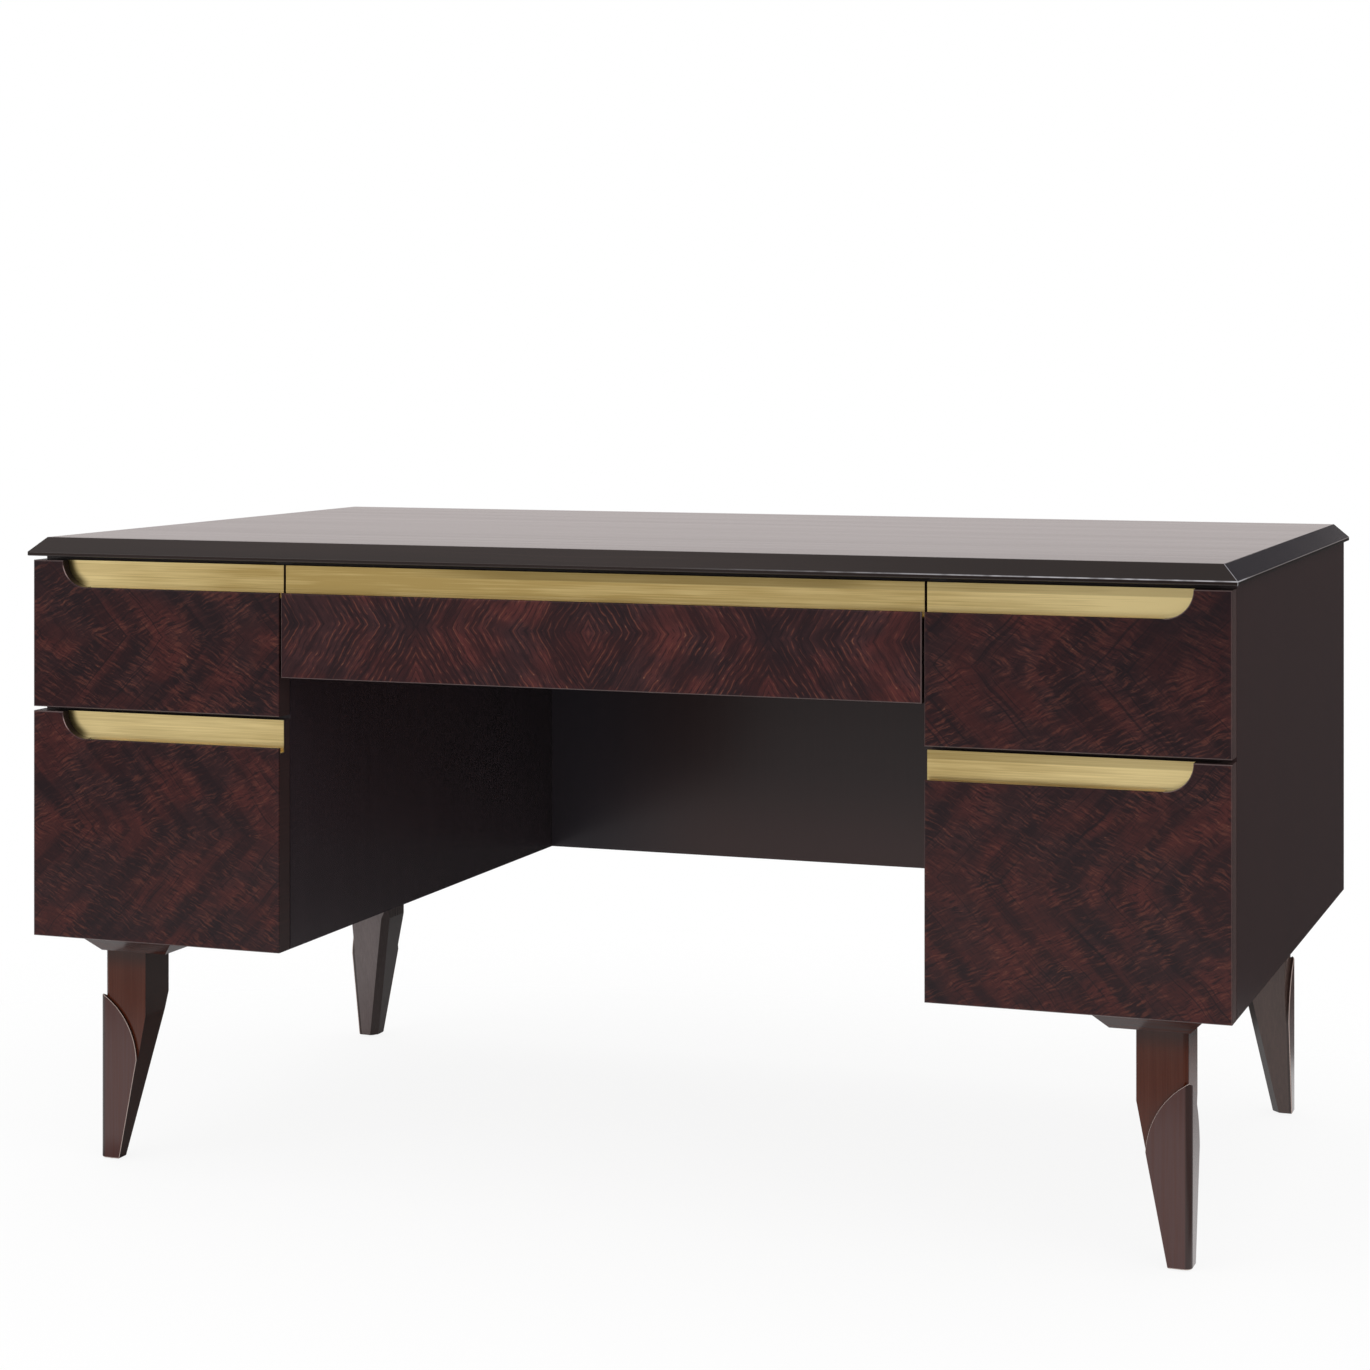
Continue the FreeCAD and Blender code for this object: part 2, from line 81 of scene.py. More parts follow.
# The room that the gloss mirrors: heights from straight down at -1 to straight up at 1, and colours.
ROOM_BEHIND = ((-1.0, 0.05, 0.05, 0.05), (-0.005, 0.05, 0.05, 0.05), (0.015, 0.70, 0.64, 0.63),
               (0.080, 0.70, 0.64, 0.63), (0.130, 0.07, 0.07, 0.08), (0.300, 0.10, 0.11, 0.13),
               (0.600, 0.25, 0.25, 0.25), (1.0, 0.25, 0.25, 0.25))
ROOM_IN_FRONT = ((-1.0, 0.25, 0.25, 0.25), (-0.060, 0.25, 0.25, 0.25), (-0.020, 0.72, 0.72, 0.72),
                 (0.400, 0.72, 0.72, 0.72), (0.700, 0.30, 0.30, 0.30), (1.0, 0.30, 0.30, 0.30))

# How far it darkens to the right in front, and its plain light.
ROOM_FALL = 0.25
ROOM_SOFT = (0.70, 0.70, 0.70)

# Greys of the floor: as the lamps light it, as the gloss sees its unlit part, and under its glow.
PAPER_GREY = 0.80
DIM_GREY = 0.40
SHADE_GREY = 0.14
FLOOR_GLOW = 0.88


def colour(name, value, description):
    """A colour setting."""
    return FloatVectorProperty(name=name, description=description, default=value, subtype="COLOR",
                               size=3, min=0.0, max=1.0)


def length(name, value, description, least=0.0):
    """A length setting in metres."""
    return FloatProperty(name=name, description=description, default=value, min=least,
                         unit="LENGTH", precision=4)


def number(name, value, description):
    """A setting that is a plain number from nought up."""
    return FloatProperty(name=name, description=description, default=value, min=0.0)


def share(name, value, description):
    """A setting between nought and one."""
    return FloatProperty(name=name, description=description, default=value, min=0.0, max=1.0,
                         subtype="FACTOR")


class VeneerSettings(bpy.types.PropertyGroup):
    """The figured veneer of the drawer fronts."""

    ground: colour("Ground", (0.038, 0.0135, 0.0145), "Browner ground")
    red: colour("Red ground", (0.07, 0.0165, 0.015), "Redder ground")
    dark: colour("Dark", (0.01, 0.005, 0.0075), "Dark bands and lines")
    light: colour("Ripples", (0.145, 0.043, 0.029), "The ripples' crests")
    amber: colour("Flecks", (0.26, 0.115, 0.07), "The few palest flecks")
    # Painted highlights: the light line along a front's rounded edges.
    edge: colour("Edges", (0.15, 0.105, 0.102), "Light edges round a front, painted as highlights")
    side: colour("Sides", (0.042, 0.027, 0.027), "The fronts' plain sides")
    # Painted light: the right pedestal's front sides are lighter, as light falls on them.
    right_side_lit: colour("Right sides", (0.088, 0.053, 0.05), "The same, painted lighter on the right pedestal")
    leaf_width: length("Leaf width", 0.214, "Width of one veneer leaf on the centre front")
    band_width: length("Band width", 0.021, "Width of the growth bands")
    ripple_width: length("Ripple width", 0.007, "Distance between the ripples of the figure")
    ripple_length: length("Ripple length", 0.02, "Length of one ripple")
    ripple_lean: number("Ripple lean", 27.0, "How far the ripples lean, in degrees")
    pore_width: length("Pore width", 0.0009, "Distance between the fine pores")
    side_slope: number("Pedestal slope", 0.92, "How far a band moves sideways for its climb")
    centre_slope: number("Centre slope", 0.66, "The same on the centre front")
    centre_richness: number("Centre richness", 1.45, "How much lighter the centre's ground is")
    patch: share("Dark patch", 0.55, "Cover of the dark patch on the upper right front")
    roughness: share("Roughness", 0.24, "Roughness of the lacquer over the veneer")


class LacquerSettings(bpy.types.PropertyGroup):
    """The dark lacquered wood of the top, the case and the legs."""

    top: colour("Top", (0.024, 0.0145, 0.0125), "Wood of the desk top")
    case: colour("Case", (0.034, 0.015, 0.0155), "Wood of the outer sides")
    case_streak: colour("Case streaks", (0.046, 0.02, 0.02), "Their lighter streaks")
    back: colour("Back", (0.046, 0.0215, 0.021), "Wood of the back panel")
    back_streak: colour("Back streaks", (0.06, 0.028, 0.027), "Its lighter streaks")
    # Painted light inside the knee space: a reflection low down, shade high up, a cooler reflection at
    # the left.
    knee_low_reflection: colour("Knee back low", (0.078, 0.037, 0.035), "Painted reflection low inside the back")
    knee_high_shade: colour("Knee back high", (0.035, 0.014, 0.014), "Painted shade high inside the back")
    knee_left_reflection: colour("Knee back left", (0.033, 0.029, 0.039), "Cooler painted reflection at the left inside it")
    # Painted shade: the inner sides are a darker, cooler copy of the case wood, as the knee space is
    # shaded.
    inner: colour("Inner sides", (0.028, 0.019, 0.023), "Darker wood beside the knee space, painted as its shade")
    inner_streak: colour("Inner streaks", (0.037, 0.025, 0.03), "Its lighter streaks")
    # Painted shade: the bevelled sides are darkened, deeper to the right.
    bevel: colour("Bevel", (0.01, 0.0025, 0.001), "Painted shade on the top's bevelled sides")
    # Painted highlight on the top's lip arris and right mitre.
    lip_highlight: colour("Lip highlight", (0.5, 0.49, 0.52), "Painted highlights on the top's arrises")
    lip_height: length("Lip height", 0.0045, "Height of the square lip under the top's bevel")
    frame: colour("Frame", (0.022, 0.011, 0.009), "Wood of the rails and floors")
    block: colour("Blocks", (0.048, 0.032, 0.032), "Wood of the leg blocks")
    leg: colour("Legs", (0.074, 0.012, 0.0025), "Wood of the front legs")
    leg_streak: colour("Leg streaks", (0.096, 0.022, 0.009), "Their lighter streaks")
    # Painted reflection: the back legs are greyer and lighter than the front legs, the back left most.
    back_left_leg: colour("Back left leg", (0.165, 0.13, 0.127), "Greyer tone painted on this leg for its reflections")
    back_right_leg: colour("Back right leg", (0.082, 0.05, 0.042), "Wood of this leg")
    # Painted shade on the legs' inner faces and under their blocks, and a painted dark reflection on
    # the leaves' corners.
    leg_inside: colour("Leg insides", (0.009, 0.005, 0.004), "Painted shade on the legs' inner faces")
    leaf: colour("Leaves", (0.088, 0.04, 0.037), "The raised leaves on the legs")
    # Painted highlight on the leaves' rims.
    leaf_rim_highlight: colour("Leaf rims", (0.8, 0.64, 0.58), "Painted highlights on the leaves' rims")
    leaf_proud: length("Leaf thickness", 0.0046, "How far the leaves stand proud of the legs")
    leaf_corner: length("Leaf corner", 0.008, "Radius of the leaves' round corner")
    grain_width: length("Grain width", 0.0022, "Distance between the grain lines")
    grain_length: length("Grain length", 0.16, "Length of one grain line")
    top_roughness: share("Top roughness", 0.11, "Roughness of the desk top")
    case_roughness: share("Case roughness", 0.24, "Roughness of the case")
    leg_roughness: share("Leg roughness", 0.17, "Roughness of the legs")
    frame_roughness: share("Frame roughness", 0.50, "Roughness of the rails and floors")


class MetalSettings(bpy.types.PropertyGroup):
    """Brass pulls and zinc plated steel."""

    brass: colour("Brass", (0.98, 0.78, 0.38), "Polished brass")
    brass_dark: colour("Brass shade", (0.5, 0.35, 0.125), "Darker streaks in the brass")
    # Painted highlight: the brass along a pull's lower edge, lightened as light catches it.
    brass_bright: colour("Bright brass", (0.98, 0.85, 0.5), "Painted highlight low on the brass")
    # Painted shade: the brass under a pull's upper edge, darkened as the top's overhang shades it.
    brass_dull: colour("Brass top shade", (0.24, 0.17, 0.06), "Brass under its upper edge")
    steel: colour("Steel", (0.56, 0.57, 0.58), "Zinc plated steel")
    streak_height: length("Streak height", 0.0011, "Height of one brushed streak")
    streak_length: length("Streak length", 0.13, "Length of one brushed streak")
    brush_height: length("Brush height", 0.0003, "Distance between the finest brush lines")
    brass_roughness: share("Brass roughness", 0.34, "Roughness of the brass")


class BoxSettings(bpy.types.PropertyGroup):
    """The light hardwood of the drawer boxes."""

    wood: colour("Wood", (0.42, 0.27, 0.145), "Main colour of the box wood")
    grain: colour("Grain", (0.27, 0.15, 0.07), "Darker grain")
    tail_pitch: length("Tail pitch", 0.026, "Distance between two dovetails")
    tail_depth: length("Tail depth", 0.012, "Reach of the dovetails along a side")
    grain_width: length("Grain width", 0.0035, "Distance between the grain lines")
    grain_length: length("Grain length", 0.12, "Length of one grain line")


class FixingSettings(bpy.types.PropertyGroup):
    """The small screws and pads that the drawings leave to the finish."""

    slide_head_radius: length("Slide screw radius", 0.0034, "Radius of a slide screw's head")
    slide_head_height: length("Slide screw height", 0.0018, "Height of a slide screw's head")
    slide_wall: length("Slide wall", 0.0014, "Thickness of the slide under its screws")
    slide_screws: IntProperty(name="Screws in a slide", default=3, min=2,
                              description="How many screws hold one inner slide")
    slide_end_margin: length("Slide end margin", 0.035, "From a slide's end to its first screw")
    front_head_radius: length("Front screw radius", 0.0048, "Radius of a front screw's head")
    front_head_height: length("Front screw height", 0.0026, "Height of a front screw's head")
    front_screw_inset: length("Front screw inset", 0.045, "From a box's wall to its front screws")
    front_screw_drop: length("Front screw drop", 0.025, "From the board's edge to its screws")
    pad_radius: length("Pad radius", 0.0035, "Radius of a soft stop pad")
    pad_height: length("Pad height", 0.0016, "Thickness of a soft stop pad")
    pad_margin: length("Pad margin", 0.03, "From a front's end to its pad")
    segments: IntProperty(name="Segments", default=24, min=12,
                          description="Steps round a screw head or pad")


class StudioSettings(bpy.types.PropertyGroup):
    """Camera, lamps, floor and backdrop."""

    camera_x: length("Camera X", 1.2508, "Camera to the right of the desk's middle")
    camera_y: length("Camera Y", -3.5357, "Camera in front of the desk's middle", -20.0)
    camera_z: length("Camera height", 0.9686, "Camera above the floor")
    camera_turn: FloatProperty(name="Camera turn", default=0.3504, subtype="ANGLE",
                               description="How far the camera turns to the left")
    focal_pixels: number("Focal length", 2971.5, "Focal length in pixels of the picture")
    horizon_row: number("Horizon row", 366.6, "Picture row of the camera's axis")
    floor_radius: length("Floor radius", 2.7, "Radius of the round pale floor")
    floor_solid: length("Solid floor", 1.7, "Radius inside which the floor is solid")
    floor_forward: length("Floor middle", -1.2, "Y of the middle of the floor", -20.0)


class Wire:
    """A shader socket that can stand in a sum. Each operator adds the Math node that it needs."""

    def __init__(self, finish, socket):
        self.finish = finish
        self.socket = socket

    def math(self, operation, *values):
        """The result of a Math node on these values."""
        return self.finish.add("ShaderNodeMath", dict(enumerate(values)), operation=operation)

    def __add__(self, other):
        return self.math("ADD", self, other)

    def __radd__(self, other):
        return self.math("ADD", other, self)

    def __sub__(self, other):
        return self.math("SUBTRACT", self, other)

    def __rsub__(self, other):
        return self.math("SUBTRACT", other, self)

    def __mul__(self, other):
        return self.math("MULTIPLY", self, other)

    def __rmul__(self, other):
        return self.math("MULTIPLY", other, self)

    def __truediv__(self, other):
        return self.math("DIVIDE", self, other)

    def __pow__(self, other):
        return self.math("POWER", self, other)

    def __abs__(self):
        return self.math("ABSOLUTE", self)

    def above(self, edge):
        """One where the value is over an edge, else nought."""
        return self.math("GREATER_THAN", self, edge)

    def smaller(self, other):
        """The smaller of two values."""
        return self.math("MINIMUM", self, other)

    def larger(self, other):
        """The larger of two values."""
        return self.math("MAXIMUM", self, other)

    def folded(self, period):
        """The value sent to and fro between nought and a period."""
        return self.math("PINGPONG", self, period)

    def fitted(self, low, high, start=0.0, end=1.0):
        """The value stretched smoothly from one range to another, and held at its ends."""
        sockets = {"Value": self, 1: low, 2: high, 3: start, 4: end}
        return self.finish.add("ShaderNodeMapRange", sockets, interpolation_type="SMOOTHSTEP")


class Finish:
    """The nodes of one procedural material, or of the room round the desk."""

    def __init__(self, name, owners=None):
        owners = bpy.data.materials if owners is None else owners
        self.owner = owners.new(name)
        self.owner.use_nodes = True
        self.tree = self.owner.node_tree
        self.tree.nodes.clear()

    def add(self, kind, sockets=None, output=0, **settings):
        """Add a node with its settings and the values or links of its sockets."""
        node = self.tree.nodes.new(kind)
        for name, value in settings.items():
            if name == "heights":
                self.place_stops(node.color_ramp.elements, value)
            else:
                setattr(node, name, value)
        for name, value in (sockets or {}).items():
            if isinstance(value, Wire):
                self.tree.links.new(value.socket, node.inputs[name])
            else:
                node.inputs[name].default_value = value
        return Wire(self, node.outputs[output]) if node.outputs else None

    def place_stops(self, elements, heights):
        """Set a ramp's stops, each a height from -1 to 1 and a colour."""
        while len(elements) < len(heights):
            elements.new(0.5)
        for element, (height, *tint) in zip(elements, heights):
            element.position = (height + 1) / 2
            element.color = (*tint, 1.0)

    def place(self, source="Object"):
        """The X, Y and Z of a point on the object, or of a direction in the room."""
        spot = self.add("ShaderNodeTexCoord", output=source)
        split = self.add("ShaderNodeSeparateXYZ", {0: spot})
        return [Wire(self, socket) for socket in split.socket.node.outputs]

    def ray(self, kind):
        """One for rays of a kind, else nought."""
        return self.add("ShaderNodeLightPath", output=f"Is {kind} Ray")

    def noise(self, x, y, z, detail=2.0, roughness=0.5):
        """Soft noise between nought and one at a place given by three values."""
        spot = self.add("ShaderNodeCombineXYZ", {0: x, 1: y, 2: z})
        sockets = {"Vector": spot, "Scale": 1.0, "Detail": detail, "Roughness": roughness}
        return self.add("ShaderNodeTexNoise", sockets)

    def mixed(self, share_of_second, first, second):
        """Two colours mixed."""
        tints = [tint if isinstance(tint, Wire) else (*tint, 1.0) for tint in (first, second)]
        sockets = {0: share_of_second, 6: tints[0], 7: tints[1]}
        return self.add("ShaderNodeMix", sockets, 2, data_type="RGBA")

    def bump(self, height, relief):
        """A normal that a height disturbs. The relief is what a height of one stands for."""
        return self.add("ShaderNodeBump", {"Height": height, "Distance": relief})

    def surface(self, **sockets):
        """The Principled surface and the material's output."""
        named = {name.replace("_", " ").title().replace("Ior", "IOR"): value
                 for name, value in sockets.items()}
        shader = self.add("ShaderNodeBsdfPrincipled", named)
        self.add("ShaderNodeOutputMaterial", {"Surface": shader})
        return self.owner


def shaded(tint, times):
    """A colour made darker, or lighter where the times are over one."""
    return [part * times for part in tint]


def dress(material, *nodes):
    """Give drawn parts a material."""
    for node in nodes:
        part = frame["nodes"][node]
        part.data.materials.clear()
        part.data.materials.append(material)


def plain_wood(name, wood, ground, streak, along, roughness, layer=None, stretch=1.0, **gloss):
    """Lacquered wood with straight grain along one axis: 0 for X, 1 for Y and 2 for Z.

    A layer is a function that changes the tone at a place. A stretch makes the grain lines longer.
    """
    width = wood.grain_width
    run = stretch * wood.grain_length
    finish = Finish(name)
    spot = finish.place()
    lengthwise = spot[along]
    sides = [spot[axis] for axis in range(3) if axis != along]
    sway_run = 200.0 * width
    sway_width = 0.11
    sway_reach = 0.012
    sway = finish.noise(lengthwise / sway_run, *[side / sway_width for side in sides], 1.0) - 0.5
    across = [side + sway_reach * sway for side in sides]

    def grain(runs, widths, detail, roughness=0.5):
        """Noise drawn out along the grain, in shares of one grain line's run and width."""
        places = [side / (widths * width) for side in across]
        return finish.noise(lengthwise / (runs * run), *places, detail, roughness)

    lines = grain(1.0, 1.0, 4.0, 0.62)
    cloud = grain(3.0, 9.0, 2.0)
    pores = grain(0.16, 0.22, 1.0)
    mask = lines.fitted(0.36, 0.72) * 0.65 + cloud.fitted(0.35, 0.68) * 0.35
    tone = finish.mixed(mask, ground, streak)
    tone = finish.mixed(pores.fitted(0.62, 0.74) * 0.45, tone, shaded(ground, 0.4))
    if layer:
        tone = layer(finish, spot, tone)
    rough = roughness + 0.05 * (cloud - 0.5) + 0.03 * (lines - 0.5)
    normal = finish.bump(0.7 * lines + 0.3 * pores, relief=0.000012)
    return finish.surface(base_color=tone, roughness=rough, normal=normal, **gloss)


def figured_veneer(name, low, high, seed, patch, veneer):
    """Veneer matched about a seam half way up a front. A patch darkens its upper right part."""
    finish = Finish(name)
    spot = finish.place()
    x, y, z = spot
    middle = (low.x + high.x) / 2
    seam = (low.z + high.z) / 2
    on_pedestal = abs(middle) > PEDESTAL_START
    climb = abs(z - seam + 0.005 * (finish.noise(x / 0.040, seed, 0.0, 1.0) - 0.5))
    if on_pedestal:
        slope = veneer.side_slope
        step = (x - middle) * -math.copysign(1, middle)
        wander = 0.014 * (finish.noise(step / 0.07, climb / 0.07, seed, 2.0) - 0.5)
    else:
        slope = veneer.centre_slope
        step = x.folded(veneer.leaf_width)
        wander = 0.008 * (finish.noise(x / 0.028, z / 0.028, seed, 2.0) - 0.5)
    scale = math.hypot(1.0, slope)
    across = (step + slope * climb) / scale + wander
    along = (climb - slope * step) / scale
    if on_pedestal:
        crest, valley, flecks = leaning_ripples(finish, spot, climb, step, seed, veneer)
        crest_share = 0.52
        richness = 1.0
    else:
        crest, valley, flecks = banded_ripples(finish, across, along, seed, veneer)
        crest_share = 0.80
        richness = veneer.centre_richness
    patches = finish.noise(x / 0.075, z / 0.055, seed + 1.0, 2.0)
    spread = finish.noise(x / 0.036, z / 0.028, seed + 19.0, 2.0)
    bands = finish.noise(across / veneer.band_width, along / 0.40, seed + 7.0, 2.0, 0.5)
    lines = finish.noise(across / 0.0024, along / 0.14, seed + 23.0, 1.0)
    grain = finish.noise(across / veneer.pore_width, along / 0.014, seed + 11.0, 2.0)
    strength = spread.fitted(0.34, 0.60, 0.20, 1.0)
    tone = finish.mixed(patches.fitted(0.38, 0.62), shaded(veneer.ground, richness),
                        shaded(veneer.red, richness))
    tone = finish.mixed(spread.fitted(0.60, 0.40) * 0.35, tone, veneer.dark)
    tone = finish.mixed(bands.fitted(0.56, 0.40) * 0.60, tone, veneer.dark)
    tone = finish.mixed(valley * strength * 0.72, tone, veneer.dark)
    tone = finish.mixed(crest * strength * crest_share, tone, veneer.light)
    fleck_share = flecks.fitted(0.66, 0.78) * crest * spread.fitted(0.44, 0.62) * 0.7
    tone = finish.mixed(fleck_share, tone, veneer.amber)
    tone = finish.mixed(lines.fitted(0.60, 0.74) * 0.65, tone, veneer.dark)
    tone = finish.mixed(grain.fitted(0.54, 0.70) * 0.50, tone, veneer.dark)
    if patch:
        shade = (x - middle).fitted(-0.06, 0.10) * (z - seam).fitted(-0.05, 0.03)
        tone = finish.mixed(shade * patch, tone, veneer.dark)
    tone = front_edges(finish, spot, low, high, tone, veneer)
    if on_pedestal:
        tone = scoop_end(finish, spot, low, high, tone, veneer)
    rough = veneer.roughness + 0.05 * (spread - 0.5)
    normal = finish.bump(crest * 0.6 + grain * 0.4, relief=0.00003)
    return finish.surface(base_color=tone, roughness=rough, normal=normal, specular_ior_level=0.22)


def banded_ripples(finish, across, along, seed, veneer):
    """Crests, valleys and flecks of the centre front, which follow its growth bands."""
    drift = finish.noise(across / 0.030, along / 0.060, seed + 13.0, 2.0)
    wave = (across / veneer.ripple_width + 1.3 * drift).folded(0.5)
    broken = finish.noise(across / 0.0050, along / 0.0110, seed + 29.0, 2.0)
    crest = wave.fitted(0.33, 0.48) * broken.fitted(0.42, 0.56)
    valley = wave.fitted(0.20, 0.02) * broken.fitted(0.62, 0.40)
    flecks = finish.noise(across / 0.0022, along / 0.0060, seed + 17.0, 1.0) + 0.05
    return crest, valley, flecks


def leaning_ripples(finish, spot, climb, step, seed, veneer):
    """Crests, valleys and flecks of a pedestal front, which lean across its growth bands."""
    x, y, z = spot
    lean = math.radians(veneer.ripple_lean)
    first = math.cos(lean) * climb - math.sin(lean) * step
    second = math.cos(lean) * step + math.sin(lean) * climb
    first = first + 0.010 * (finish.noise(x / 0.022, z / 0.022, seed + 3.0, 2.0) - 0.5)
    ripples = finish.noise(first / (0.36 * veneer.ripple_width), second / veneer.ripple_length,
                           seed + 13.0, 3.0, 0.62)
    flecks = finish.noise(first / 0.0016, second / 0.006, seed + 17.0, 1.0)
    return ripples.fitted(0.52, 0.64), ripples.fitted(0.46, 0.38), flecks


def front_edges(finish, spot, low, high, tone, veneer):
    """A front's plain sides, painted lighter on the right pedestal where light falls, and its light
    edges, painted as highlights.
    """
    x, y, z = spot
    middle = (low.x + high.x) / 2
    if abs(middle) < PEDESTAL_START:
        edge_highlight_share = 0.95
        side = veneer.side
    elif middle > 0:
        edge_highlight_share = 0.45
        # Sides painted lighter here, where light falls on them.
        side = veneer.right_side_lit
    else:
        edge_highlight_share = 0.10
        side = veneer.side
    depth = y - low.y
    # Painted edge highlights, strongest on the centre front and weakest on the left pedestal.
    upright_highlight = (x - low.x).smaller(high.x - x).fitted(0.0014, 0.0006) * edge_highlight_share
    level = (z - low.z).smaller(high.z - z).fitted(0.0014, 0.0006) * 0.9
    tone = finish.mixed(depth.fitted(0.0018, 0.0030) * 0.9, tone, side)
    return finish.mixed(upright_highlight.larger(level) * depth.fitted(0.0020, 0.0012), tone, veneer.edge)


def scoop_end(finish, spot, low, high, tone, veneer):
    """The round wall at a finger scoop's outer end, painted dark as shade, with a painted glint on its
    edge.
    """
    x, y, z = spot
    outward = math.copysign(1, low.x + high.x)
    turn = (low.x + high.x) / 2 + outward * ((high.x - low.x) / 2 - SCOOP_END_MARGIN - SCOOP_RADIUS)
    depth = y - low.y
    past = (x - turn) * outward
    drop = high.z - z
    gap = abs((past * past + drop * drop) ** 0.5 - SCOOP_RADIUS)
    ring = gap.fitted(0.0010, 0.0005) * past.above(0.0)
    # Painted shade on the round wall.
    tone = finish.mixed(ring * depth.fitted(0.0010, 0.0020) * 0.9, tone, veneer.dark)
    # Painted glint on the wall's edge.
    glint = 0.30
    if outward < 0:
        glint = drop.fitted(0.004, 0.011) * drop.fitted(0.025, 0.016) * 0.75 + 0.10
    return finish.mixed(ring * depth.fitted(0.0014, 0.0006) * glint, tone, shaded(veneer.edge, 3.5))


def brushed_brass(name, low, high, top, end_sheen, metal):
    """Brass brushed along its length, painted shade under its upper edge to the right and painted light
    below.

    The corners are the pull's, the top is its front's, and the end sheen is how much brighter its two
    ends are painted.
    """
    finish = Finish(name)
    lengthwise, depth, level = finish.place()
    streaks = finish.noise(lengthwise / metal.streak_length, level / metal.streak_height,
                           depth / metal.streak_height, 3.0, 0.6)
    brush = finish.noise(lengthwise / (0.5 * metal.streak_length), level / metal.brush_height,
                         depth / metal.brush_height, 2.0)
    smears = finish.noise(lengthwise / 0.11, level / 0.012, depth / 0.03, 2.0)
    shine = streaks.fitted(0.25, 0.75) * 0.6 + smears.fitted(0.25, 0.75) * 0.4
    # The end sheen is painted reflection, brighter or darker towards each end.
    shine = shine * 0.7 + 0.15 + lengthwise.fitted(low.x, high.x, *end_sheen)
    tone = finish.mixed(shine, metal.brass_dark, metal.brass)
    # Painted shade under the upper edge of the middle and right pulls.
    top_shade = (level - top).fitted(-0.0105, -0.0088) * lengthwise.fitted(-0.27, -0.08)
    tone = finish.mixed(top_shade * lengthwise.fitted(0.28, 0.34, 0.70, 0.40), tone, metal.brass_dull)
    # Painted highlight along the pull's lower edge.
    tone = finish.mixed((level - low.z).fitted(0.007, 0.003) * 0.7, tone, metal.brass_bright)
    # Painted dark reflection of the scoop's round end wall in the left pulls' brass.
    if high.x < 0:
        past = low.x + SCOOP_RADIUS - lengthwise
        drop = top - level
        gap = SCOOP_RADIUS - (past * past + drop * drop) ** 0.5
        scoop_wall_shade = gap.fitted(0.013, 0.003) * past.fitted(0.0, 0.016) * 0.85
        tone = finish.mixed(scoop_wall_shade, tone, shaded(metal.brass_dark, 0.25))
    rough = metal.brass_roughness + 0.10 * (streaks - 0.5) + 0.08 * (brush - 0.5)
    normal = finish.bump(streaks * 0.35 + brush * 0.65, relief=0.00004)
    return finish.surface(base_color=tone, metallic=1.0, roughness=rough, normal=normal)


def box_wood(name, along, box, tails=None):
    """Clear finished drawer wood. Tails are the Y of a side's two ends, where dovetails show."""
    finish = Finish(name)
    spot = finish.place()
    lengthwise = spot[along]
    across = [spot[axis] for axis in range(3) if axis != along]
    sway = finish.noise(lengthwise / 0.25, across[0] / 0.07, across[1] / 0.07, 1.0) - 0.5
    first = (across[0] + 0.02 * sway) / box.grain_width
    second = (across[1] + 0.02 * sway) / box.grain_width
    lines = finish.noise(lengthwise / box.grain_length, first, second, 4.0, 0.6)
    cloud = finish.noise(lengthwise / 0.30, first / 8.0, second / 8.0, 2.0)
    pores = finish.noise(lengthwise / 0.012, first * 4.0, second * 4.0, 1.0)
    tone = finish.mixed(lines.fitted(0.35, 0.70) * 0.7, box.wood, box.grain)
    tone = finish.mixed(cloud.fitted(0.35, 0.65) * 0.25, tone, box.grain)
    tone = finish.mixed(pores.fitted(0.62, 0.72) * 0.4, tone, shaded(box.grain, 0.35))
    if tails:
        near_end = abs(spot[1] - tails[0]).smaller(abs(spot[1] - tails[1]))
        spread = spot[2].folded(0.5 * box.tail_pitch) - 0.16 * near_end
        end = 1 - near_end.above(box.tail_depth)
        tail = end * (1 - spread.above(0.25 * box.tail_pitch))
        tone = finish.mixed(tail * 0.55, tone, shaded(box.grain, 0.75))
    normal = finish.bump(lines * 0.6 + pores * 0.4, relief=0.00005)
    return finish.surface(base_color=tone, roughness=0.42 + 0.08 * (lines - 0.5), normal=normal)


def steel_finish(name, tint, grain_along):
    """Zinc plated steel with faint drawing lines and soft blotches."""
    finish = Finish(name)
    spot = finish.place()
    lines = finish.noise(spot[grain_along] / 0.2, spot[2] / 0.0006, spot[0] / 0.0006, 2.0)
    blotch = finish.noise(spot[0] / 0.02, spot[1] / 0.03, spot[2] / 0.012, 2.0)
    mask = blotch.fitted(0.3, 0.7) * 0.6 + lines * 0.4
    tone = finish.mixed(mask, shaded(tint, 0.86), tint)
    rough = 0.36 + 0.05 * (blotch - 0.5) + 0.06 * (lines - 0.5)
    return finish.surface(base_color=tone, metallic=1.0, roughness=rough,
                          normal=finish.bump(lines, relief=0.00002))


def in_scene(name, data):
    """A new object in the scene."""
    thing = bpy.data.objects.new(name, data)
    bpy.context.scene.collection.objects.link(thing)
    return thing


def new_piece(name, work, body, material):
    """Make an object from finished work, and let it ride on a body."""
    mesh = bpy.data.meshes.new(name)
    bmesh.ops.recalc_face_normals(work, faces=work.faces)
    work.verts.sort(key=lambda vert: vert.co.dot(SORT_LINE))
    work.faces.sort(key=lambda face: face.calc_center_median().dot(SORT_LINE))
    work.to_mesh(mesh)
    work.free()
    mesh.materials.append(material)
    piece = in_scene(name, mesh)
    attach(piece, body)


def facing_turn(direction):
    """The turn that carries +Z to a direction."""
    return direction.to_track_quat("Z", "Y").to_matrix().to_4x4()


